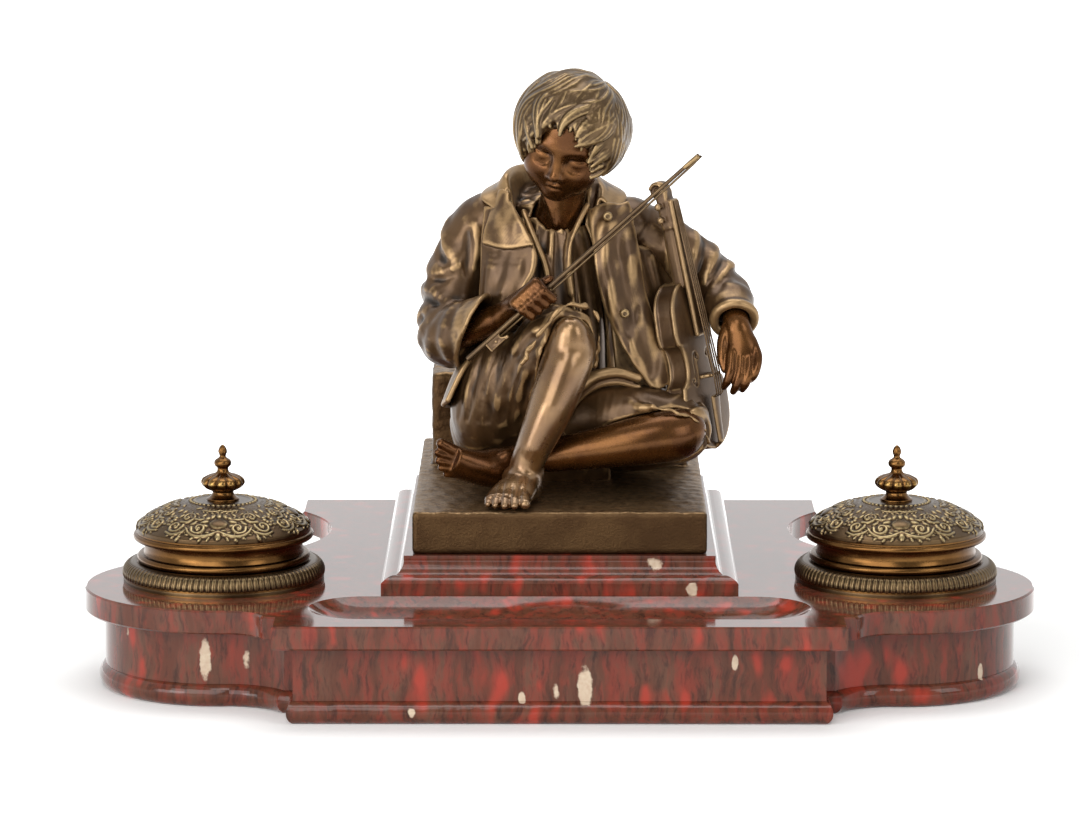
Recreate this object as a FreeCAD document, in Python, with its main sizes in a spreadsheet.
"""Desk set: a stepped red marble stand with a pen trough, two hinged inkwells and a seated bronze fiddler.

Millimetres, +Z up, +X to the right of someone seated at the desk, +Y away from them.
The origin is on the desk, below the middle of the stand.
"""
import FreeCAD, Part
import math
import os

import Sketcher
from FreeCAD import Placement, Rotation, Vector

SIZES = {
    # marble stand, seen from above
    "stand_width": 440.0,
    "stand_depth": 308.0,
    "block_half_width": 128.4,
    "front_return": 21.0,
    "front_facet": 5.0,
    "front_hollow_rise": 3.2,
    "rear_return": 32.0,
    "rear_hollow_rise": 26.0,
    "wing_radius": 64.0,
    "wing_centre_from_front": 98.0,
    "arris_inset": 6.0,
    # marble courses, from the desk up
    "base_height": 10.6,
    "base_inset": 6.0,
    "base_bulge": 3.4,
    "body_height": 24.8,
    "body_inset": 9.0,
    "slab_height": 10.9,
    "slab_easing": 0.8,
    # pen trough in the slab
    "trough_length": 228.0,
    "trough_width": 50.0,
    "trough_depth": 8.0,
    "trough_from_front": 42.0,
    # marble plinth under the bronze
    "plinth_width": 164.0,
    "plinth_length": 227.0,
    "plinth_from_front": 70.0,
    "plinth_fillet_height": 5.2,
    "plinth_ovolo_height": 3.0,
    "plinth_ovolo_reach": 7.0,
    "plinth_cap_height": 8.2,
    "plinth_cap_flare": 3.2,
    "plinth_cap_lip": 1.6,
    # bronze terrace
    "terrace_width": 136.0,
    "terrace_length": 201.0,
    "terrace_height": 19.8,
    "terrace_wall": 4.0,
    "terrace_easing": 1.2,
    "rock_width": 124.0,
    "rock_length": 76.0,
    "rock_height": 46.0,
    "rock_batter": 3.0,
    "rock_from_rear": 5.0,
    "rock_easing": 3.0,
    # tie rods that hold the bronze down
    "tie_radius": 3.0,
    "tie_spacing": 120.0,
    "tie_bite": 12.0,
    "tie_boss_radius": 7.5,
    # studs that hold the inkwells down
    "stud_radius": 2.0,
    "stud_ring_radius": 40.0,
    "stud_bite": 4.0,
    "rod_clearance": 0.25,
    "recess_radius": 9.5,
    "recess_depth": 8.0,
    "washer_radius": 7.5,
    "washer_height": 1.0,
    "nut_radius": 5.6,
    "nut_height": 3.4,
    # inkwells
    "well_off_middle": 5.5,
    "well_behind_wing": 10.0,
    "flange_radius": 46.6,
    "flange_edge": 4.6,
    "leaf_band_height": 4.6,
    "leaf_band_radius": 41.6,
    "torus_radius": 40.2,
    "torus_height": 4.0,
    "neck_radius": 37.4,
    "neck_height": 6.1,
    "well_bore": 30.6,
    "ledge_depth": 3.8,
    "ledge_width": 3.2,
    "spigot_length": 5.0,
    "spigot_wall": 2.0,
    "marble_bore": 33.0,
    "marble_bore_depth": 25.0,
    # glass liners
    "liner_radius": 30.2,
    "liner_wall": 2.6,
    "liner_floor": 3.4,
    "liner_rim_height": 2.0,
    "liner_depth": 37.0,
    "seat_clearance": 0.2,
    # lids
    "lid_radius": 41.9,
    "lid_rim_height": 3.4,
    "lid_bead": 1.4,
    "lid_dome_height": 14.2,
    "lid_wall": 2.4,
    "lid_disc_radius": 13.0,
    "lid_gap": 0.3,
    "shoulder_height": 2.6,
    # finials
    "finial_height": 26.2,
    "finial_bulb_radius": 10.3,
    "finial_foot_radius": 7.4,
    "finial_stud_radius": 1.8,
    "finial_nut_radius": 4.2,
    "finial_nut_height": 2.4,
    # lid hinges
    "hinge_reach": 42.4,
    "knuckle_radius": 2.6,
    "pin_radius": 1.2,
    "pin_play": 0.05,
    "lid_knuckle_width": 8.0,
    "well_knuckle_width": 5.0,
    "knuckle_gap": 0.3,
    "hinge_lug_height": 2.2,
    # seated figure and fiddle
    "figure_height": 200.0,
    "fiddle_length": 81.0,
    "fiddle_lower_width": 40.0,
    "fiddle_waist_width": 24.5,
    "fiddle_upper_width": 33.0,
    "fiddle_rib_depth": 12.0,
    "fiddle_neck_length": 44.0,
    "fiddle_neck_width": 7.0,
    "fiddle_board_height": 2.4,
    "fiddle_board_length": 66.0,
    "fiddle_bridge_height": 7.0,
    "fiddle_bridge_width": 11.0,
    "fiddle_fitting_thickness": 2.0,
    "fiddle_scroll_radius": 5.0,
    "fiddle_peg_length": 15.0,
    "fiddle_peg_radius": 1.1,
    "bow_radius": 1.3,
    "bow_tip_radius": 0.9,
    "bow_frog_length": 11.0,
    "bow_frog_height": 5.0,
    # how far every cutting tool runs past the face that it cuts
    "overrun": 5.0,
}

doc = FreeCAD.newDocument("desk_set")
sheet = doc.addObject("Spreadsheet::Sheet", "Sizes")
for row, (alias, number) in enumerate(SIZES.items(), start=1):
    sheet.set(f"A{row}", alias)
    sheet.set(f"B{row}", str(number))
    sheet.setAlias(f"B{row}", alias)
doc.recompute()

LEFT, RIGHT = -1, 1
LEVEL_TOLERANCE = 100 * Part.Precision.confusion()
SIDE_NAMES = {LEFT: "left", RIGHT: "right"}
NODES = []


def size(alias):
    """The number that the sheet holds under an alias."""
    return float(sheet.get(alias))


def worked_out(expression):
    """The number that an expression on the sheet's cells comes to."""
    got = sheet.evalExpression(expression)
    return float(getattr(got, "Value", got))


def node(obj, label):
    """Marks a document object as one finished sub-part."""
    obj.Label = label
    NODES.append(obj)
    return obj


def settle():
    """Recomputes the document, and stops if any object failed."""
    doc.recompute()
    failed = [o.Label for o in doc.Objects if {"Invalid", "Error"} & set(o.State)]
    if failed:
        raise RuntimeError(f"these objects failed: {failed}")


# Expressions that several pieces share.
SLAB_BASE = "Sizes.base_height + Sizes.body_height"
STAND_TOP = f"({SLAB_BASE} + Sizes.slab_height)"
FRONT = "(-Sizes.stand_depth / 2)"
WING_X = "(Sizes.stand_width / 2 - Sizes.wing_radius)"
WING_Y = f"({FRONT} + Sizes.wing_centre_from_front)"
WELL_X = "((Sizes.stand_width + Sizes.plinth_width) / 4 + Sizes.well_off_middle)"
WELL_Y = f"({WING_Y} + Sizes.well_behind_wing)"
PLINTH_FRONT = f"({FRONT} + Sizes.plinth_from_front)"
PLINTH_Y = f"({PLINTH_FRONT} + Sizes.plinth_length / 2)"
PLINTH_STEP = "(Sizes.plinth_fillet_height + Sizes.plinth_ovolo_height)"
PLINTH_TOP = f"({STAND_TOP} + {PLINTH_STEP} + Sizes.plinth_cap_height)"
TERRACE_TOP = f"({PLINTH_TOP} + Sizes.terrace_height)"
WELL_RIM = "(Sizes.flange_edge + Sizes.leaf_band_height + Sizes.torus_height + Sizes.neck_height)"
LEDGE = f"({WELL_RIM} - Sizes.ledge_depth)"
LID_BASE = f"({WELL_RIM} + Sizes.lid_gap)"
LID_TOP = f"({LID_BASE} + Sizes.lid_rim_height + Sizes.lid_dome_height)"
HINGE_HALF = "(Sizes.lid_knuckle_width / 2 + Sizes.knuckle_gap + Sizes.well_knuckle_width)"


def plane(body, role):
    """One of a body's own origin planes, such as XY_Plane."""
    return next(f for f in body.Origin.OriginFeatures if f.Role == role)


def sketch_on(body, name, role="XY_Plane", offset="0"):
    """A new sketch on an origin plane of a body, moved along the plane's normal by an expression."""
    sketch = body.newObject("Sketcher::SketchObject", name)
    sketch.AttachmentSupport = (plane(body, role), "")
    sketch.MapMode = "FlatFace"
    sketch.setExpression("AttachmentOffset.Base.z", offset)
    return sketch


def arc_between(start, end, centre, bulge_left):
    """The arc from start to end about centre, and whether it starts at start when drawn anticlockwise."""
    radius = (start - centre).Length
    first, last = (end, start) if bulge_left else (start, end)
    angles = [math.atan2(p.y - centre.y, p.x - centre.x) for p in (first, last)]
    circle = Part.Circle(centre, Vector(0, 0, 1), radius)
    return Part.ArcOfCircle(circle, angles[0], angles[1]), not bulge_left


def rise_arc(start, end, rise):
    """The arc whose middle stands off its chord by rise, to the left on the way to its end if positive."""
    chord = end - start
    across = Vector(-chord.y, chord.x, 0).normalize()
    radius = (chord.Length ** 2 / 4 + rise ** 2) / (2 * abs(rise))
    side = 1 if rise > 0 else -1
    centre = (start + end) * 0.5 - across * side * (radius - abs(rise))
    return arc_between(start, end, centre, rise > 0)


def outline(sketch, corners, rises=None):
    """Draws a closed outline through corners, given as pairs of expressions, and ties each to the sheet.

    rises maps the number of a side to an expression for how far it bows to its left.
    """
    rises = rises or {}
    points = [Vector(worked_out(x), worked_out(y), 0) for x, y in corners]
    ends = []
    for i, start in enumerate(points):
        end = points[(i + 1) % len(points)]
        if i in rises:
            shape, forward = rise_arc(start, end, worked_out(rises[i]))
        else:
            shape, forward = Part.LineSegment(start, end), True
        number = sketch.addGeometry(shape, False)
        ends.append((number, 1, 2) if forward else (number, 2, 1))
    for i, (number, first, last) in enumerate(ends):
        following = ends[(i + 1) % len(ends)]
        sketch.addConstraint(Sketcher.Constraint("Coincident", number, last, following[0], following[1]))
    for (number, first, last), (x, y), point in zip(ends, corners, points):
        for kind, expression, value in (("DistanceX", x, point.x), ("DistanceY", y, point.y)):
            at = sketch.addConstraint(Sketcher.Constraint(kind, -1, 1, number, first, value))
            sketch.setExpression(f"Constraints[{at}]", expression)
    return sketch


def circles(sketch, places):
    """Draws circles, each given as expressions for its centre and radius, and ties them to the sheet."""
    for x, y, radius in places:
        at = Vector(worked_out(x), worked_out(y), 0)
        number = sketch.addGeometry(Part.Circle(at, Vector(0, 0, 1), worked_out(radius)), False)
        for kind, expression, value in (("DistanceX", x, at.x), ("DistanceY", y, at.y)):
            c = sketch.addConstraint(Sketcher.Constraint(kind, -1, 1, number, 3, value))
            sketch.setExpression(f"Constraints[{c}]", expression)
        c = sketch.addConstraint(Sketcher.Constraint("Radius", number, worked_out(radius)))
        sketch.setExpression(f"Constraints[{c}]", radius)
    return sketch


def rectangle(sketch, half_x, low_y, high_y):
    """Draws a rectangle, even about the sketch's upright axis."""
    left = f"-({half_x})"
    return outline(sketch, [(left, low_y), (half_x, low_y), (half_x, high_y), (left, high_y)])


def pad(body, sketch, length, midplane=False, taper=None):
    """Pads a sketch by an expression."""
    feature = body.newObject("PartDesign::Pad", f"{sketch.Name}_pad")
    feature.Profile = sketch
    feature.setExpression("Length", length)
    if midplane:
        feature.SideType = "Symmetric"
    if taper:
        feature.setExpression("TaperAngle", taper)
    sketch.Visibility = False
    return feature


def pocket(body, sketch, length, midplane=False, reverse=False):
    """Cuts a sketch out of a body by an expression, and stops if nothing was cut."""
    doc.recompute()
    before = body.Shape.Volume
    feature = body.newObject("PartDesign::Pocket", f"{sketch.Name}_pocket")
    feature.Profile = sketch
    feature.setExpression("Length", length)
    feature.Reversed = reverse
    if midplane:
        feature.SideType = "Symmetric"
    doc.recompute()
    if body.Shape.Volume >= before:
        raise RuntimeError(f"{sketch.Name} cuts nothing")
    return feature


def turned(body, sketch, cut=False):
    """Turns a sketch of radius and height through a full circle about its upright axis."""
    kind = "PartDesign::Groove" if cut else "PartDesign::Revolution"
    feature = body.newObject(kind, f"{sketch.Name}_turned")
    feature.Profile = sketch
    feature.ReferenceAxis = (sketch, ["V_Axis"])
    feature.Angle = 360.0
    return feature


def round_edges(body, name, kind, chosen, expression):
    """Rounds or bevels the edges of the body's tip that chosen accepts."""
    doc.recompute()
    tip = body.Tip
    names = [f"Edge{i}" for i, edge in enumerate(tip.Shape.Edges, start=1) if chosen(edge)]
    feature = body.newObject(f"PartDesign::{kind}", name)
    feature.Base = (tip, names)
    feature.setExpression("Radius" if kind == "Fillet" else "Size", expression)
    return feature


def level(edge, height):
    """True for an edge that lies all at one height."""
    box = edge.BoundBox
    return max(abs(box.ZMin - height), abs(box.ZMax - height)) < LEVEL_TOLERANCE


def stand_outline(sketch, inset):
    """The plan of one marble course, drawn in by an expression from the plan of the top slab."""
    half = f"(Sizes.block_half_width - {inset})"
    front = f"({FRONT} + {inset})"
    rear = f"(Sizes.stand_depth / 2 - {inset})"
    radius = f"(Sizes.wing_radius - {inset})"
    arris = f"({WING_X} - Sizes.arris_inset)"
    span = f"sqrt({radius}^2 - Sizes.arris_inset^2)"
    edge = [
        (half, front),
        (half, f"{front} + Sizes.front_return"),
        (f"({half} + Sizes.front_facet)", f"{front} + Sizes.front_return"),
        (arris, f"{WING_Y} - {span}"),
        (arris, f"{WING_Y} + {span}"),
        (half, f"{rear} - Sizes.rear_return"),
        (half, rear),
    ]
    left = [(f"-{x}", y) for x, y in edge]
    right = list(reversed(edge))
    front_hollow = "-Sizes.front_hollow_rise"
    rear_hollow = "-Sizes.rear_hollow_rise"
    wing = f"Sizes.arris_inset + {radius}"
    rises = {2: front_hollow, 3: wing, 4: rear_hollow, 8: rear_hollow, 9: wing, 10: front_hollow}
    return outline(sketch, left + right, rises)


# Where the rods pass through the marble.
TIE_PLACES = [("0", f"{PLINTH_Y} {sign} Sizes.tie_spacing / 2") for sign in "-+"]
STUD_PLACES = [
    (f"{side}{WELL_X} {sign} Sizes.stud_ring_radius", WELL_Y) for side in ("-", "") for sign in "-+"
]


def rod_holes(body, name, offset, length):
    """Drills the tie rod and stud holes upwards through one course."""
    tie = [(x, y, "Sizes.tie_radius + Sizes.rod_clearance") for x, y in TIE_PLACES]
    stud = [(x, y, "Sizes.stud_radius + Sizes.rod_clearance") for x, y in STUD_PLACES]
    sketch = circles(sketch_on(body, f"{name}_holes", offset=offset), tie + stud)
    pocket(body, sketch, length, reverse=True)


def course(name, inset, offset, height):
    """A marble course as a body, padded up from an expression for its underside."""
    body = doc.addObject("PartDesign::Body", name)
    pad(body, stand_outline(sketch_on(body, f"{name}_plan", offset=offset), inset), height)
    return body


def moulded_course(name, sections, ruled):
    """A marble course lofted up through plans, each given as expressions for its height and its inset."""
    body = doc.addObject("PartDesign::Body", name)
    plans = [
        stand_outline(sketch_on(body, f"{name}_plan_{i}", offset=height), inset)
        for i, (height, inset) in enumerate(sections)
    ]
    loft = body.newObject("PartDesign::AdditiveLoft", f"{name}_loft")
    loft.Profile = plans[0]
    loft.Sections = plans[1:]
    loft.Ruled = ruled
    return body


# The half-round edge of the base, as shares of its height and of its bulge, from the desk up.
TORUS_SHARES = ((0.0, 1.0), (0.15, 0.35), (0.5, 0.0), (0.85, 0.35), (1.0, 1.0))


def make_marble():
    """The three marble courses, with the trough, the bores for the inkwells and the holes for the rods."""
    torus = [
        (f"Sizes.base_height * {up}", f"(Sizes.base_inset + Sizes.base_bulge * {inward})")
        for up, inward in TORUS_SHARES
    ]
    base = moulded_course("base_course", torus, False)
    rod_holes(base, "base", "0", "Sizes.base_height")
    recesses = [(x, y, "Sizes.recess_radius") for x, y in TIE_PLACES + STUD_PLACES]
    pocket(base, circles(sketch_on(base, "base_recesses"), recesses), "Sizes.recess_depth", reverse=True)
    node(base, "base_course")

    body = course("body_course", "Sizes.body_inset", "Sizes.base_height", "Sizes.body_height")
    rod_holes(body, "body", "Sizes.base_height", "Sizes.body_height")
    bores = [(f"{side}{WELL_X}", WELL_Y, "Sizes.marble_bore") for side in ("-", "")]
    sketch = circles(sketch_on(body, "body_bores", offset=SLAB_BASE), bores)
    pocket(body, sketch, "Sizes.marble_bore_depth - Sizes.slab_height")
    node(body, "body_course")

    eased = [
        (SLAB_BASE, "Sizes.slab_easing"),
        (f"{SLAB_BASE} + Sizes.slab_easing", "0"),
        (f"{STAND_TOP} - Sizes.slab_easing", "0"),
        (STAND_TOP, "Sizes.slab_easing"),
    ]
    slab = moulded_course("top_slab", eased, True)
    rod_holes(slab, "slab", SLAB_BASE, "Sizes.slab_height")
    pocket(slab, circles(sketch_on(slab, "slab_bores", offset=STAND_TOP), bores), "Sizes.slab_height")
    cut_trough(slab)
    node(slab, "top_slab")


def cut_trough(slab):
    """Cuts the pen trough: a round-bottomed channel between two dished ends."""
    half_width = "Sizes.trough_width / 2"
    middle = f"({FRONT} + Sizes.trough_from_front)"
    reach = "(Sizes.trough_length / 2 - Sizes.trough_width / 2)"
    channel = sketch_on(slab, "trough_section", "YZ_Plane")
    corners = [(f"{middle} + {half_width}", STAND_TOP), (f"{middle} - {half_width}", STAND_TOP)]
    outline(channel, corners, {1: "-Sizes.trough_depth"})
    pocket(slab, channel, f"2 * {reach}", midplane=True)
    for sign in (LEFT, RIGHT):
        dish = sketch_on(slab, f"trough_end_{SIDE_NAMES[sign]}", "XZ_Plane", f"-{middle}")
        dish.setExpression("AttachmentOffset.Base.x", f"{sign} * {reach}")
        radius = f"((({half_width})^2 + Sizes.trough_depth^2) / (2 * Sizes.trough_depth))"
        floor = f"({STAND_TOP} - Sizes.trough_depth)"
        corners = [("0", STAND_TOP), ("0", floor), (half_width, STAND_TOP)]
        chord = f"sqrt(({half_width})^2 + Sizes.trough_depth^2)"
        rise = f"-({radius} - sqrt({radius}^2 - ({chord} / 2)^2))"
        outline(dish, corners, {1: rise})
        turned(slab, dish, cut=True)


# How far moulded sides bow out or in, as shares of the height or reach of the moulding.
STEP_BOW_SHARE, CAP_BOW_SHARE, LEAF_BOW_SHARE, NECK_BOW_SHARE, DOME_BOW_SHARE = 0.33, 0.33, 0.25, 0.17, 0.167


def moulded_block(name, half_width, profile, rises):
    """A rectangular marble course with the same moulding on all four sides.

    It is where two prisms cross. profile lists the moulding as pairs of expressions: in from the face,
    and height.
    """
    prisms = []
    spans = {"XZ_Plane": (half_width, "0"), "YZ_Plane": ("(Sizes.plinth_length / 2)", PLINTH_Y)}
    for role, (half, centre) in spans.items():
        body = doc.addObject("PartDesign::Body", f"{name}_{role[:2].lower()}")
        low = [(f"{centre} + {half} - {inset}", z) for inset, z in profile]
        mirror = [(f"{centre} - {half} + {inset}", z) for inset, z in reversed(profile)]
        last = len(profile) - 1
        both = dict(rises)
        both.update({2 * last - i: rise for i, rise in rises.items()})
        sketch = outline(sketch_on(body, f"{body.Name}_section", role), low + mirror, both)
        pad(body, sketch, "2 * (Sizes.plinth_length + Sizes.stand_depth)", midplane=True)
        prisms.append(body)
    crossing = doc.addObject("Part::MultiCommon", name)
    crossing.Shapes = prisms
    return crossing


def make_plinth():
    """The stepped marble plinth: an ovolo step and a hollow-sided cap, both drilled for the tie rods."""
    half = "(Sizes.plinth_width / 2)"
    low, step_top = STAND_TOP, f"({STAND_TOP} + {PLINTH_STEP})"
    step_face = f"({STAND_TOP} + Sizes.plinth_fillet_height)"
    step = moulded_block(
        "plinth_step_block",
        half,
        [("0", low), ("0", step_face), ("Sizes.plinth_ovolo_reach", step_top)],
        {1: f"-Sizes.plinth_ovolo_height * {STEP_BOW_SHARE}"},
    )
    lip = f"({PLINTH_TOP} - Sizes.plinth_cap_lip)"
    inner = "(Sizes.plinth_ovolo_reach + Sizes.plinth_cap_flare)"
    cap = moulded_block(
        "plinth_cap_block",
        half,
        [("Sizes.plinth_ovolo_reach", step_top), (inner, lip), (inner, PLINTH_TOP)],
        {0: f"Sizes.plinth_cap_flare * {CAP_BOW_SHARE}"},
    )
    drills = [rod(f"plinth_drill_{i}", "Sizes.tie_radius + Sizes.rod_clearance", x, y, low, PLINTH_TOP)
              for i, (x, y) in enumerate(TIE_PLACES)]
    for block, label in ((step, "plinth_step"), (cap, "plinth_cap")):
        drill = doc.addObject("Part::Compound", f"{label}_drills")
        drill.Links = drills
        drilled = doc.addObject("Part::Cut", label)
        drilled.Base, drilled.Tool = block, drill
        node(drilled, label)


def rod(name, radius, x, y, low, high):
    """An upright cylinder between two heights."""
    shape = doc.addObject("Part::Cylinder", name)
    shape.setExpression("Radius", radius)
    shape.setExpression("Height", f"{high} - {low}")
    for axis, expression in zip("xyz", (x, y, low)):
        shape.setExpression(f"Placement.Base.{axis}", expression)
    return shape


def hexagon(name, radius, x, y, low, high):
    """An upright hexagonal prism between two heights."""
    shape = doc.addObject("Part::Prism", name)
    shape.Polygon = 6
    shape.setExpression("Circumradius", radius)
    shape.setExpression("Height", f"{high} - {low}")
    for axis, expression in zip("xyz", (x, y, low)):
        shape.setExpression(f"Placement.Base.{axis}", expression)
    return shape


def ring(name, solid, hole):
    """A solid with a hole through it."""
    cut = doc.addObject("Part::Cut", name)
    cut.Base, cut.Tool = solid, hole
    return cut


def make_fixings(kind, radius, places, top):
    """Rods, washers and nuts from the recesses in the base up into the bronze."""
    washer_top = "Sizes.recess_depth"
    nut_top = f"({washer_top} - Sizes.washer_height)"
    nut_low = f"({nut_top} - Sizes.nut_height)"
    foot = f"({nut_low} - Sizes.washer_height)"
    groups = {"rods": [], "washers": [], "nuts": []}
    for i, (x, y) in enumerate(places):
        groups["rods"].append(rod(f"{kind}_rod_{i}", radius, x, y, foot, top))
        for part, maker, outer, low, high in (
            ("washers", rod, "Sizes.washer_radius", nut_top, washer_top),
            ("nuts", hexagon, "Sizes.nut_radius", nut_low, nut_top),
        ):
            solid = maker(f"{kind}_{part}_{i}_blank", outer, x, y, low, high)
            hole = rod(f"{kind}_{part}_{i}_hole", radius, x, y, low, high)
            groups[part].append(ring(f"{kind}_{part}_{i}", solid, hole))
    for part, solids in groups.items():
        group = doc.addObject("Part::Compound", f"{kind}_{part}")
        group.Links = solids
        node(group, f"{kind}_{part}")


def make_terrace():
    """The hollow bronze terrace, with the rock behind the figure and bosses for the tie rods."""
    body = doc.addObject("PartDesign::Body", "terrace_casting")
    half = "(Sizes.terrace_width / 2)"
    low_y, high_y = f"({PLINTH_Y} - Sizes.terrace_length / 2)", f"({PLINTH_Y} + Sizes.terrace_length / 2)"
    ground = rectangle(sketch_on(body, "terrace_plan", offset=PLINTH_TOP), half, low_y, high_y)
    pad(body, ground, "Sizes.terrace_height")
    top = worked_out(TERRACE_TOP)
    round_edges(body, "terrace_easing", "Fillet", lambda e: level(e, top), "Sizes.terrace_easing")
    rear = f"({high_y} - Sizes.rock_from_rear)"
    rock = sketch_on(body, "rock_plan", offset=f"{TERRACE_TOP} - Sizes.terrace_wall")
    rectangle(rock, "(Sizes.rock_width / 2)", f"({rear} - Sizes.rock_length)", rear)
    pad(body, rock, "Sizes.rock_height + Sizes.terrace_wall", taper="-Sizes.rock_batter")
    rock_top = worked_out(f"{TERRACE_TOP} + Sizes.rock_height")
    round_edges(body, "rock_easing", "Fillet", lambda e: level(e, rock_top), "Sizes.rock_easing")
    hollow = sketch_on(body, "terrace_hollow", offset=PLINTH_TOP)
    wall = "Sizes.terrace_wall"
    rectangle(hollow, f"({half} - {wall})", f"({low_y} + {wall})", f"({high_y} - {wall})")
    circles(hollow, [(x, y, "Sizes.tie_boss_radius") for x, y in TIE_PLACES])
    pocket(body, hollow, f"Sizes.terrace_height - {wall}", reverse=True)
    ties = [(x, y, "Sizes.tie_radius") for x, y in TIE_PLACES]
    bores = circles(sketch_on(body, "terrace_bores", offset=PLINTH_TOP), ties)
    pocket(body, bores, "Sizes.tie_bite", reverse=True)
    return node(body, "terrace")


def well_body(side):
    """A round bronze mount on the wing: flange, leaf band, torus and neck, with two hinge knuckles."""
    name = f"{SIDE_NAMES[side]}_well"
    body = doc.addObject("PartDesign::Body", f"{name}_casting")
    spigot = "(Sizes.marble_bore - Sizes.seat_clearance)"
    ledge_radius = "(Sizes.well_bore + Sizes.ledge_width)"
    leaf_top = "(Sizes.flange_edge + Sizes.leaf_band_height)"
    torus_top = f"({leaf_top} + Sizes.torus_height)"
    torus_bulge = "(Sizes.torus_height / 2)"
    torus_foot = f"(Sizes.torus_radius - {torus_bulge})"
    corners = [
        (spigot, "-Sizes.spigot_length"),
        (spigot, "0"),
        ("Sizes.flange_radius", "0"),
        ("Sizes.flange_radius", "Sizes.flange_edge"),
        ("Sizes.leaf_band_radius", leaf_top),
        (torus_foot, leaf_top),
        (torus_foot, torus_top),
        ("Sizes.neck_radius", torus_top),
        ("Sizes.neck_radius", WELL_RIM),
        (ledge_radius, WELL_RIM),
        (ledge_radius, LEDGE),
        ("Sizes.well_bore", LEDGE),
        ("Sizes.well_bore", "-Sizes.spigot_length"),
    ]
    rises = {
        3: f"-Sizes.leaf_band_height * {LEAF_BOW_SHARE}",
        5: f"-{torus_bulge}",
        7: f"Sizes.torus_height * {NECK_BOW_SHARE}",
    }
    turned(body, outline(sketch_on(body, f"{name}_section", "XZ_Plane"), corners, rises))
    near = "(Sizes.lid_knuckle_width / 2 + Sizes.knuckle_gap)"
    lug_foot = f"((Sizes.neck_radius + {ledge_radius}) / 2)"
    for end, start in (("a", near), ("b", f"-{near} - Sizes.well_knuckle_width")):
        lug = sketch_on(body, f"{name}_lug_{end}", "YZ_Plane", start)
        low = f"({WELL_RIM} - Sizes.hinge_lug_height)"
        reach = "Sizes.hinge_reach"
        outline(lug, [(lug_foot, low), (reach, low), (reach, WELL_RIM), (lug_foot, WELL_RIM)])
        pad(body, lug, "Sizes.well_knuckle_width")
        knuckle = sketch_on(body, f"{name}_knuckle_{end}", "YZ_Plane", start)
        circles(knuckle, [(reach, LID_BASE, "Sizes.knuckle_radius")])
        pad(body, knuckle, "Sizes.well_knuckle_width")
    pin = [("Sizes.hinge_reach", LID_BASE, "Sizes.pin_radius")]
    bore = circles(sketch_on(body, f"{name}_pin_bore", "YZ_Plane"), pin)
    pocket(body, bore, f"2 * ({HINGE_HALF} + Sizes.overrun)", midplane=True)
    studs = circles(
        sketch_on(body, f"{name}_stud_bores"),
        [(f"{sign}Sizes.stud_ring_radius", "0", "Sizes.stud_radius") for sign in ("-", "")],
    )
    pocket(body, studs, "Sizes.stud_bite", reverse=True)
    return node(set_on_wing(body, side), f"{name}_body")


def set_on_wing(body, side):
    """Moves a piece that is drawn about its own axis to its place on a wing."""
    body.setExpression("Placement.Base.x", f"{side} * {WELL_X}")
    body.setExpression("Placement.Base.y", WELL_Y)
    body.setExpression("Placement.Base.z", STAND_TOP)
    return body


def ink_liner(side):
    """A glass cup that hangs by its rim from the ledge in the mount."""
    name = f"{SIDE_NAMES[side]}_ink_liner"
    body = doc.addObject("PartDesign::Body", f"{name}_glass")
    rim = "(Sizes.well_bore + Sizes.ledge_width - Sizes.seat_clearance)"
    top = f"({LEDGE} + Sizes.liner_rim_height)"
    floor = f"({top} - Sizes.liner_depth)"
    inner = "(Sizes.liner_radius - Sizes.liner_wall)"
    corners = [
        ("0", floor),
        ("Sizes.liner_radius", floor),
        ("Sizes.liner_radius", LEDGE),
        (rim, LEDGE),
        (rim, top),
        (inner, top),
        (inner, f"{floor} + Sizes.liner_floor"),
        ("0", f"{floor} + Sizes.liner_floor"),
    ]
    turned(body, outline(sketch_on(body, f"{name}_section", "XZ_Plane"), corners))
    return node(set_on_wing(body, side), name)


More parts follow.
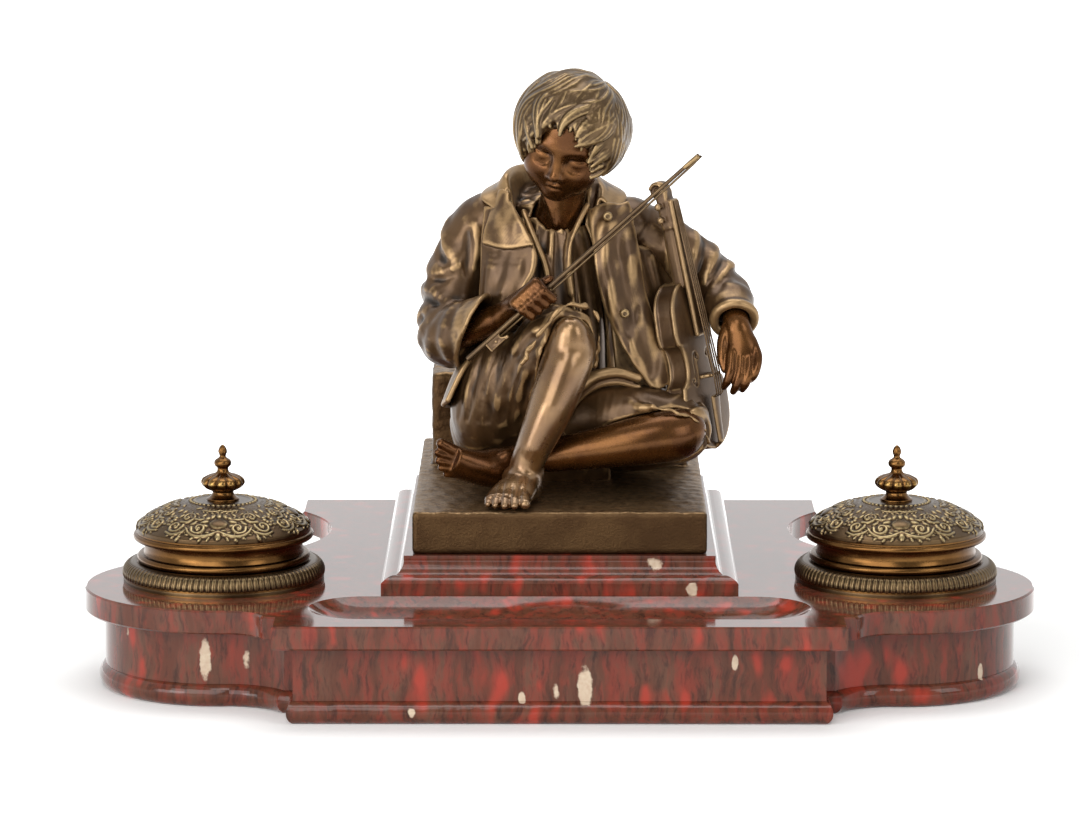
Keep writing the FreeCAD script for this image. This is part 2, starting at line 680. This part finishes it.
def lid(side):
    """A hollow domed lid with a beaded rim and its own hinge knuckle."""
    name = f"{SIDE_NAMES[side]}_lid"
    body = doc.addObject("PartDesign::Body", f"{name}_casting")
    outer = "(Sizes.lid_radius - Sizes.lid_bead)"
    inner = f"({outer} - Sizes.lid_wall)"
    rim_top = f"({LID_BASE} + Sizes.lid_rim_height)"
    shoulder = f"({rim_top} + Sizes.shoulder_height)"
    under = f"({LID_TOP} - Sizes.lid_wall)"
    hole = "(Sizes.finial_stud_radius + Sizes.seat_clearance)"
    corners = [
        (inner, LID_BASE),
        (outer, LID_BASE),
        (outer, rim_top),
        (outer, shoulder),
        ("Sizes.lid_disc_radius", LID_TOP),
        (hole, LID_TOP),
        (hole, under),
        ("Sizes.lid_disc_radius", under),
        (inner, shoulder),
    ]
    dome = f"Sizes.lid_dome_height * {DOME_BOW_SHARE}"
    rises = {1: "-Sizes.lid_bead", 3: f"-{dome}", 7: dome}
    turned(body, outline(sketch_on(body, f"{name}_section", "XZ_Plane"), corners, rises))
    near = "(Sizes.lid_knuckle_width / 2)"
    for end, start in (("a", near), ("b", f"-{HINGE_HALF} - Sizes.knuckle_gap")):
        notch = sketch_on(body, f"{name}_notch_{end}", "YZ_Plane", start)
        circles(notch, [("Sizes.hinge_reach", LID_BASE, "Sizes.knuckle_radius + Sizes.knuckle_gap")])
        pocket(body, notch, "Sizes.well_knuckle_width + 2 * Sizes.knuckle_gap", reverse=True)
    lug = sketch_on(body, f"{name}_lug", "YZ_Plane")
    low, high = LID_BASE, f"({LID_BASE} + Sizes.hinge_lug_height)"
    foot = f"(({outer} + {inner}) / 2)"
    reach = "Sizes.hinge_reach"
    outline(lug, [(foot, low), (reach, low), (reach, high), (foot, high)])
    pad(body, lug, "Sizes.lid_knuckle_width", midplane=True)
    knuckle = sketch_on(body, f"{name}_knuckle", "YZ_Plane")
    circles(knuckle, [(reach, LID_BASE, "Sizes.knuckle_radius")])
    pad(body, knuckle, "Sizes.lid_knuckle_width", midplane=True)
    pin = [(reach, LID_BASE, "Sizes.pin_radius + Sizes.pin_play")]
    bore = circles(sketch_on(body, f"{name}_pin_bore", "YZ_Plane"), pin)
    pocket(body, bore, "Sizes.lid_knuckle_width + Sizes.overrun", midplane=True)
    return node(set_on_wing(body, side), name)


# Heights up a finial, and widths across it, as shares of its height and of its bulb's radius.
FOOT_SHARE, BULB_LOW_SHARE, BULB_HIGH_SHARE = 0.05, 0.16, 0.48
WAIST_SHARE, BEAD_LOW_SHARE, BEAD_HIGH_SHARE = 0.55, 0.61, 0.77
BUD_HIGH_SHARE, BUD_TOP_SHARE = 0.87, 0.96
STEM_SHARE, NECK_SHARE, BEAD_SHARE, TIP_SHARE, BUD_SHARE = 0.40, 0.25, 0.39, 0.15, 0.20
STEM_HOLLOW_SHARE = 0.06


def finial(side):
    """A turned bronze finial: foot, bulb, bead and bud, with a stud that passes through the lid."""
    name = f"{SIDE_NAMES[side]}_finial"
    body = doc.addObject("PartDesign::Body", f"{name}_turning")
    width, tall = "Sizes.finial_bulb_radius", "Sizes.finial_height"
    foot = "-(Sizes.lid_wall + Sizes.finial_nut_height + Sizes.washer_height)"
    stud = "Sizes.finial_stud_radius"
    corners = [
        ("0", foot),
        (stud, foot),
        (stud, "0"),
        ("Sizes.finial_foot_radius", "0"),
        ("Sizes.finial_foot_radius", f"{tall} * {FOOT_SHARE}"),
        (f"{width} * {STEM_SHARE}", f"{tall} * {BULB_LOW_SHARE}"),
        (f"{width} * {STEM_SHARE}", f"{tall} * {BULB_HIGH_SHARE}"),
        (f"{width} * {NECK_SHARE}", f"{tall} * {WAIST_SHARE}"),
        (f"{width} * {NECK_SHARE}", f"{tall} * {BEAD_LOW_SHARE}"),
        (f"{width} * {TIP_SHARE}", f"{tall} * {BEAD_HIGH_SHARE}"),
        (f"{width} * {BUD_SHARE}", f"{tall} * {BUD_HIGH_SHARE}"),
        (f"{width} * {TIP_SHARE} / 2", f"{tall} * {BUD_TOP_SHARE}"),
        ("0", tall),
    ]
    rises = {
        4: f"{width} * {STEM_HOLLOW_SHARE}",
        5: f"-{width} * (1 - {STEM_SHARE})",
        8: f"-{width} * ({BEAD_SHARE} - {NECK_SHARE})",
    }
    turned(body, outline(sketch_on(body, f"{name}_section", "XZ_Plane"), corners, rises))
    set_on_wing(body, side)
    body.setExpression("Placement.Base.z", f"{STAND_TOP} + {LID_TOP}")
    return node(body, name)


def finial_nut(side):
    """The hexagonal nut that holds a finial from inside its lid."""
    name = f"{SIDE_NAMES[side]}_finial_nut"
    x, y = f"{side} * {WELL_X}", WELL_Y
    high = f"({STAND_TOP} + {LID_TOP} - Sizes.lid_wall)"
    low = f"({high} - Sizes.finial_nut_height)"
    blank = hexagon(f"{name}_blank", "Sizes.finial_nut_radius", x, y, low, high)
    hole = rod(f"{name}_hole", "Sizes.finial_stud_radius", x, y, low, high)
    return node(ring(f"{name}_ring", blank, hole), name)


def hinge_pin(side):
    """The steel pin on which a lid turns."""
    name = f"{SIDE_NAMES[side]}_hinge_pin"
    pin = doc.addObject("Part::Cylinder", f"{name}_wire")
    pin.setExpression("Radius", "Sizes.pin_radius")
    pin.setExpression("Height", f"2 * {HINGE_HALF}")
    pin.Placement = Placement(Vector(0, 0, 0), Rotation(Vector(0, 1, 0), 90))
    pin.setExpression("Placement.Base.x", f"{side} * {WELL_X} - {HINGE_HALF}")
    pin.setExpression("Placement.Base.y", f"{WELL_Y} + Sizes.hinge_reach")
    pin.setExpression("Placement.Base.z", f"{STAND_TOP} + {LID_BASE}")
    return node(pin, name)


# The seated figure. Each row is a section: its middle, from the ground below the middle of the stand,
# then its two half widths, all as shares of the figure's height.
TORSO_SHARES = (
    (0.000, 0.150, -0.010, 0.165, 0.105),
    (0.000, 0.145, 0.090, 0.180, 0.120),
    (-0.005, 0.135, 0.200, 0.160, 0.110),
    (-0.010, 0.120, 0.320, 0.150, 0.100),
    (-0.010, 0.112, 0.440, 0.170, 0.102),
    (-0.010, 0.115, 0.530, 0.185, 0.098),
    (-0.015, 0.115, 0.600, 0.190, 0.090),
    (-0.020, 0.110, 0.655, 0.160, 0.080),
    (-0.030, 0.095, 0.700, 0.110, 0.070),
    (-0.035, 0.085, 0.730, 0.080, 0.055),
)
NECK_SHARES = (
    (-0.005, 0.085, 0.580, 0.058, 0.055),
    (0.005, 0.040, 0.665, 0.054, 0.052),
    (0.015, 0.000, 0.745, 0.055, 0.055),
)
FACE_SHARES = (
    (0.008, -0.034, 0.688, 0.020, 0.018),
    (0.010, -0.040, 0.706, 0.048, 0.042),
    (0.016, -0.045, 0.752, 0.080, 0.070),
    (0.022, -0.042, 0.806, 0.098, 0.088),
    (0.028, -0.030, 0.858, 0.102, 0.098),
    (0.032, -0.005, 0.908, 0.080, 0.080),
)
HAIR_SHARES = (
    (0.030, 0.055, 0.698, 0.070, 0.050),
    (0.030, 0.045, 0.738, 0.112, 0.085),
    (0.030, 0.022, 0.798, 0.132, 0.120),
    (0.034, 0.004, 0.858, 0.140, 0.138),
    (0.040, 0.004, 0.918, 0.126, 0.130),
    (0.046, 0.010, 0.970, 0.086, 0.092),
    (0.046, 0.010, 1.000, 0.036, 0.036),
)
RIGHT_THIGH_SHARES = (
    (-0.160, 0.180, 0.108, 0.080, 0.075),
    (-0.155, 0.120, 0.123, 0.110, 0.105),
    (-0.100, 0.010, 0.218, 0.108, 0.105),
    (-0.035, -0.080, 0.318, 0.092, 0.090),
    (0.005, -0.125, 0.368, 0.080, 0.075),
    (0.022, -0.155, 0.383, 0.055, 0.050),
)
RIGHT_SHIN_SHARES = (
    (0.020, -0.135, 0.388, 0.045, 0.045),
    (0.025, -0.155, 0.353, 0.060, 0.062),
    (0.005, -0.185, 0.288, 0.058, 0.060),
    (-0.025, -0.205, 0.208, 0.052, 0.055),
    (-0.060, -0.210, 0.128, 0.042, 0.044),
    (-0.080, -0.205, 0.073, 0.038, 0.042),
    (-0.085, -0.200, 0.018, 0.040, 0.045),
)
RIGHT_FOOT_SHARES = (
    (-0.080, -0.150, 0.028, 0.028, 0.030),
    (-0.085, -0.185, 0.033, 0.042, 0.045),
    (-0.100, -0.250, 0.033, 0.052, 0.038),
    (-0.118, -0.310, 0.020, 0.060, 0.025),
    (-0.128, -0.352, 0.015, 0.055, 0.017),
)
LEFT_THIGH_SHARES = (
    (0.110, 0.180, 0.103, 0.075, 0.080),
    (0.130, 0.120, 0.113, 0.100, 0.100),
    (0.200, 0.040, 0.128, 0.100, 0.100),
    (0.260, -0.030, 0.138, 0.088, 0.088),
    (0.295, -0.075, 0.141, 0.070, 0.070),
    (0.315, -0.105, 0.141, 0.045, 0.045),
)
LEFT_SHIN_SHARES = (
    (0.310, -0.080, 0.143, 0.040, 0.040),
    (0.280, -0.105, 0.139, 0.060, 0.060),
    (0.210, -0.125, 0.131, 0.060, 0.060),
    (0.100, -0.135, 0.113, 0.049, 0.049),
    (-0.020, -0.130, 0.093, 0.039, 0.039),
    (-0.110, -0.130, 0.080, 0.035, 0.036),
    (-0.150, -0.135, 0.068, 0.038, 0.038),
)
LEFT_FOOT_SHARES = (
    (-0.105, -0.120, 0.060, 0.030, 0.034),
    (-0.150, -0.135, 0.060, 0.045, 0.044),
    (-0.210, -0.160, 0.073, 0.044, 0.036),
    (-0.260, -0.180, 0.090, 0.037, 0.025),
    (-0.285, -0.190, 0.103, 0.020, 0.015),
)
RIGHT_UPPER_SLEEVE_SHARES = (
    (-0.165, 0.110, 0.645, 0.045, 0.045),
    (-0.190, 0.112, 0.605, 0.066, 0.064),
    (-0.230, 0.105, 0.525, 0.070, 0.070),
    (-0.255, 0.085, 0.430, 0.072, 0.072),
    (-0.262, 0.060, 0.350, 0.072, 0.070),
    (-0.262, 0.040, 0.300, 0.045, 0.042),
)
RIGHT_CUFF_SHARES = (
    (-0.285, 0.075, 0.340, 0.055, 0.055),
    (-0.265, 0.040, 0.345, 0.072, 0.072),
    (-0.225, -0.010, 0.362, 0.070, 0.072),
    (-0.195, -0.045, 0.380, 0.062, 0.066),
)
RIGHT_FOREARM_SHARES = (
    (-0.230, -0.010, 0.362, 0.036, 0.036),
    (-0.160, -0.080, 0.408, 0.032, 0.032),
    (-0.128, -0.102, 0.422, 0.026, 0.028),
    (-0.098, -0.125, 0.434, 0.026, 0.036),
    (-0.065, -0.145, 0.446, 0.028, 0.038),
    (-0.040, -0.155, 0.452, 0.016, 0.022),
)
LEFT_UPPER_SLEEVE_SHARES = (
    (0.160, 0.120, 0.625, 0.045, 0.045),
    (0.205, 0.130, 0.592, 0.064, 0.064),
    (0.270, 0.138, 0.555, 0.068, 0.068),
    (0.335, 0.132, 0.515, 0.068, 0.068),
    (0.385, 0.112, 0.462, 0.066, 0.066),
    (0.402, 0.085, 0.430, 0.042, 0.042),
)
LEFT_CUFF_SHARES = (
    (0.380, 0.135, 0.460, 0.050, 0.050),
    (0.398, 0.095, 0.440, 0.062, 0.062),
    (0.408, 0.040, 0.420, 0.060, 0.060),
    (0.414, 0.005, 0.402, 0.055, 0.055),
)
LEFT_FOREARM_SHARES = (
    (0.410, 0.045, 0.415, 0.034, 0.034),
    (0.416, -0.010, 0.390, 0.030, 0.030),
    (0.424, -0.036, 0.350, 0.040, 0.026),
    (0.426, -0.050, 0.310, 0.042, 0.024),
    (0.422, -0.064, 0.268, 0.036, 0.019),
    (0.413, -0.070, 0.240, 0.018, 0.011),
)
RIGHT_FRONT_SHARES = (
    (-0.075, 0.045, 0.605, 0.040, 0.020),
    (-0.095, 0.015, 0.550, 0.060, 0.022),
    (-0.120, 0.000, 0.460, 0.066, 0.022),
    (-0.135, 0.000, 0.380, 0.060, 0.022),
    (-0.140, 0.010, 0.320, 0.048, 0.018),
)
LEFT_FRONT_SHARES = (
    (0.080, 0.045, 0.605, 0.036, 0.020),
    (0.085, 0.015, 0.550, 0.052, 0.022),
    (0.105, -0.005, 0.450, 0.066, 0.022),
    (0.140, -0.020, 0.350, 0.074, 0.022),
    (0.175, -0.020, 0.280, 0.058, 0.020),
    (0.195, -0.015, 0.240, 0.024, 0.014),
)
BOW_TIP_SHARE = (0.320, -0.210, 0.810)
BOW_BUTT_SHARE = (-0.215, -0.145, 0.323)
FIDDLE_FOOT_SHARE = (0.350, 0.010, 0.083)
FIDDLE_HEAD_SHARE = (0.225, 0.050, 0.696)
FIDDLE_FACING_SHARE = (0.87, -0.50, 0.0)
SECTION_POINTS = 8
SPECK_SHARE = 0.005
ACROSS, UPRIGHT = Vector(1, 0, 0), Vector(0, 0, 1)


def spot(share):
    """A place on the figure, in millimetres."""
    tall = size("figure_height")
    return Vector(share[0] * tall, share[1] * tall, worked_out(TERRACE_TOP) + share[2] * tall)


def limb(shares, wide=ACROSS):
    """A smooth solid through sections whose first half width runs along wide."""
    tall = size("figure_height")
    middles = [spot(row) for row in shares]
    wires = []
    for i, row in enumerate(shares):
        along = middles[min(i + 1, len(shares) - 1)] - middles[max(i - 1, 0)]
        along.normalize()
        first = (wide - along * wide.dot(along)).normalize()
        second = along.cross(first)
        ring_points = []
        for k in range(SECTION_POINTS):
            turn = 2 * math.pi * k / SECTION_POINTS
            reach = first * row[3] * math.cos(turn) + second * row[4] * math.sin(turn)
            ring_points.append(middles[i] + reach * tall)
        curve = Part.BSplineCurve()
        curve.interpolate(Points=ring_points, PeriodicFlag=True)
        wires.append(Part.Wire(curve.toShape()))
    return Part.makeLoft(wires, True, False)


def sculpted(label, shapes, clear_of):
    """Joins shapes into one cast section, and cuts away whatever lies inside the pieces that it meets."""
    shape = shapes[0]
    for other in shapes[1:]:
        shape = shape.fuse(other)
    for piece in clear_of:
        if shape.BoundBox.intersect(piece.Shape.BoundBox):
            shape = shape.cut(piece.Shape)
    solids = sorted(shape.Solids, key=lambda s: s.Volume, reverse=True)
    least = solids[0].Volume * SPECK_SHARE
    shape = Part.Compound([s for s in solids if s.Volume > least])
    if not shape.isValid():
        raise RuntimeError(f"{label} is not a valid shape")
    feature = doc.addObject("Part::Feature", f"{label}_casting")
    feature.Shape = shape if len(shape.Solids) > 1 else shape.Solids[0]
    return node(feature, label)


def make_bow():
    """The bow: a tapered stick, and the frog at its lower end."""
    tip, butt = spot(BOW_TIP_SHARE), spot(BOW_BUTT_SHARE)
    along = tip - butt
    length = along.Length
    along.normalize()
    stick = Part.makeCone(size("bow_radius"), size("bow_tip_radius"), length, butt, along)
    stick_piece = sculpted("bow_stick", [stick], [])
    frog = Part.makeBox(size("bow_frog_length"), size("bow_radius"), size("bow_frog_height"))
    below = (UPRIGHT * -1 + along * UPRIGHT.dot(along)).normalize()
    frame = Rotation(along, below.cross(along), below, "XZY")
    start = butt + along * size("bow_frog_length") - below.cross(along) * (size("bow_radius") / 2)
    frog.Placement = Placement(start, frame)
    return [stick_piece, sculpted("bow_frog", [frog], [stick_piece])]


def fiddle_frame():
    """Where the fiddle stands: its foot, with X across, Y up its length and Z out of its belly."""
    foot = spot(FIDDLE_FOOT_SHARE)
    along = (spot(FIDDLE_HEAD_SHARE) - foot).normalize()
    out = Vector(*FIDDLE_FACING_SHARE)
    out = (out - along * out.dot(along)).normalize()
    return Placement(foot, Rotation(along.cross(out), along, out, "ZYX"))


# Heights up the fiddle's body, and widths at its corners, as shares of its length and of each bout.
LOWER_BOUT_SHARE, LOWER_CORNER_SHARE, UPPER_CORNER_SHARE, UPPER_BOUT_SHARE = 0.22, 0.40, 0.64, 0.80
CORNER_WIDTH_SHARE, SIDE_BOW_SHARE = 0.92, 0.02
PEG_SHARES = (0.66, 0.84)
BRIDGE_SHARE, TAIL_LOW_SHARE, TAIL_HIGH_SHARE = 0.42, 0.04, 0.32


def make_fiddle():
    """The fiddle: a waisted body, a neck with its board, scroll and pegs, and the bridge and tailpiece."""
    body = doc.addObject("PartDesign::Body", "fiddle_box")
    tall = "Sizes.fiddle_length"
    lower, upper = "(Sizes.fiddle_lower_width / 2)", "(Sizes.fiddle_upper_width / 2)"
    edge = [
        (lower, f"{tall} * {LOWER_BOUT_SHARE}"),
        (f"({lower} * {CORNER_WIDTH_SHARE})", f"{tall} * {LOWER_CORNER_SHARE}"),
        (f"({upper} * {CORNER_WIDTH_SHARE})", f"{tall} * {UPPER_CORNER_SHARE}"),
        (upper, f"{tall} * {UPPER_BOUT_SHARE}"),
    ]
    corners = edge + [(f"-{x}", y) for x, y in reversed(edge)]
    side = f"-{tall} * {SIDE_BOW_SHARE}"
    waist = f"(({lower} + {upper}) * {CORNER_WIDTH_SHARE} / 2 - Sizes.fiddle_waist_width / 2)"
    top, bottom = f"-{tall} * (1 - {UPPER_BOUT_SHARE})", f"-{tall} * {LOWER_BOUT_SHARE}"
    rises = {0: side, 1: waist, 2: side, 3: top, 4: side, 5: waist, 6: side, 7: bottom}
    plan = outline(sketch_on(body, "fiddle_plan"), corners, rises)
    pad(body, plan, "Sizes.fiddle_rib_depth", midplane=True)
    body.Placement = fiddle_frame()
    doc.recompute()
    node(body, "fiddle_body")

    belly = size("fiddle_rib_depth") / 2
    width, board = size("fiddle_neck_width"), size("fiddle_board_height")
    length, neck_length = size("fiddle_length"), size("fiddle_neck_length")
    end = length + neck_length
    overrun, roll = size("overrun"), size("fiddle_scroll_radius")
    neck_foot = Vector(-width / 2, length - overrun, -board / 2)
    neck = Part.makeBox(width, neck_length + overrun, belly + board, neck_foot)
    board_foot = Vector(-width / 2, end - size("fiddle_board_length") - roll, belly + board / 2)
    finger = Part.makeBox(width, size("fiddle_board_length"), board, board_foot)
    scroll = Part.makeCylinder(roll, width, Vector(-width / 2, end, roll / 2), ACROSS)
    reach = size("fiddle_peg_length")
    pegs = []
    for share in PEG_SHARES:
        at = Vector(-reach / 2, length + neck_length * share, belly / 2)
        pegs.append(Part.makeCylinder(size("fiddle_peg_radius"), reach, at, ACROSS))
    pieces = [neck, finger, scroll] + pegs
    for piece in pieces:
        piece.Placement = fiddle_frame()
    neck_piece = sculpted("fiddle_neck", pieces, [body])

    thick = size("fiddle_fitting_thickness")
    wide = size("fiddle_bridge_width")
    bridge_foot = Vector(-wide / 2, length * BRIDGE_SHARE, belly)
    bridge = Part.makeBox(wide, thick, size("fiddle_bridge_height"), bridge_foot)
    tail_foot = Vector(-width / 2, length * TAIL_LOW_SHARE, belly)
    tail = Part.makeBox(width, length * (TAIL_HIGH_SHARE - TAIL_LOW_SHARE), thick, tail_foot)
    for piece in (bridge, tail):
        piece.Placement = fiddle_frame()
    fittings = doc.addObject("Part::Feature", "fiddle_fittings_casting")
    fittings.Shape = Part.Compound([bridge, tail])
    return [body, neck_piece, node(fittings, "fiddle_fittings")]


def make_figure(terrace):
    """The seated child, cast in sections that meet face to face and stand on the terrace."""
    settle()
    met = [terrace] + make_bow() + make_fiddle()
    lying = {"wide": UPRIGHT}
    sections = {
        "figure_head": [limb(HAIR_SHARES), limb(FACE_SHARES), limb(NECK_SHARES)],
        "figure_right_leg": [limb(RIGHT_THIGH_SHARES), limb(RIGHT_SHIN_SHARES), limb(RIGHT_FOOT_SHARES)],
        "figure_left_leg": [
            limb(LEFT_THIGH_SHARES, **lying),
            limb(LEFT_SHIN_SHARES, **lying),
            limb(LEFT_FOOT_SHARES, **lying),
        ],
        "figure_torso": [limb(TORSO_SHARES)],
        "figure_right_arm": [
            limb(RIGHT_UPPER_SLEEVE_SHARES),
            limb(RIGHT_CUFF_SHARES, **lying),
            limb(RIGHT_FOREARM_SHARES, **lying),
        ],
        "figure_left_arm": [
            limb(LEFT_UPPER_SLEEVE_SHARES, **lying),
            limb(LEFT_CUFF_SHARES),
            limb(LEFT_FOREARM_SHARES),
        ],
        "right_jacket_front": [limb(RIGHT_FRONT_SHARES)],
        "left_jacket_front": [limb(LEFT_FRONT_SHARES)],
    }
    for label, shapes in sections.items():
        met.append(sculpted(label, shapes, met))


def export():
    """Checks every sub-part, and writes each to its own STEP file."""
    settle()
    os.makedirs("parts", exist_ok=True)
    for obj in NODES:
        if obj.Shape.isNull() or not obj.Shape.isValid() or not obj.Shape.Solids:
            raise RuntimeError(f"{obj.Label} has no valid solid")
        obj.Shape.exportStep(f"parts/{obj.Label}.step")


def main():
    """Builds the whole desk set."""
    make_marble()
    make_plinth()
    terrace = make_terrace()
    make_fixings("tie", "Sizes.tie_radius", TIE_PLACES, f"({PLINTH_TOP} + Sizes.tie_bite)")
    make_fixings("well", "Sizes.stud_radius", STUD_PLACES, f"({STAND_TOP} + Sizes.stud_bite)")
    for side in (LEFT, RIGHT):
        for maker in (well_body, ink_liner, lid, finial, finial_nut, hinge_pin):
            maker(side)
    make_figure(terrace)
    export()


main()
